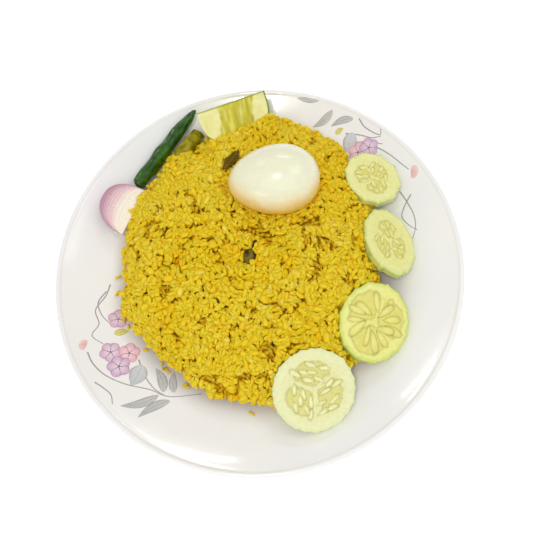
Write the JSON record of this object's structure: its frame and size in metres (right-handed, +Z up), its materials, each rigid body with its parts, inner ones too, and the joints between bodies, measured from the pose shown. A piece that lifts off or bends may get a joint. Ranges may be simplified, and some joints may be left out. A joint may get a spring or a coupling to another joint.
{
  "type": "plated biryani meal",
  "caption": "Round dinner plate with a heap of yellow rice, a peeled boiled egg, cucumber slices, lime and onion wedges and green chilies, at rest on its foot ring.",
  "frame": {"origin": "on the surface the plate stands on, at the centre of its foot ring", "axes": "+Z up, +Y away from the eater, +X to the eater's right, with the cucumber slices on the +X side"},
  "size_m": [0.254, 0.254, 0.0689],
  "materials": {
    "plate_white": "smooth glossy white glass-like glaze with a small pale floral print on the wall",
    "rice_yellow": "moist cooked rice, turmeric yellow, slightly oily, darker between the grains",
    "egg_white": "wet smooth boiled egg white, faintly translucent, tinted yellow near the rice",
    "cucumber_flesh": "wet pale green flesh, a darker seed zone with pale seeds, greener at the peeled edge",
    "lime_flesh": "juicy yellow green pulp between pale pith, thin green peel",
    "onion_pink": "satin layers, cream in the middle to purple at the skin",
    "chili_green": "glossy dark green skin with fine creases",
    "chili_cooked": "soft oily olive skin",
    "leaf_brown": "matt dried leaf with a midrib",
    "spice_brown": "matt ribbed husk"
  },
  "bodies": {
    "root": {"plate": "plate_white", "rice": "rice_yellow", "egg": "egg_white", "cucumber_1": "cucumber_flesh", "cucumber_2": "cucumber_flesh", "cucumber_3": "cucumber_flesh", "cucumber_4": "cucumber_flesh", "lime_wedge": "lime_flesh", "onion_wedge": "onion_pink", "green_chili": "chili_green", "cooked_chili": "chili_cooked", "bay_leaf": "leaf_brown", "cardamom_pod": "spice_brown"}
  },
  "joints": []
}
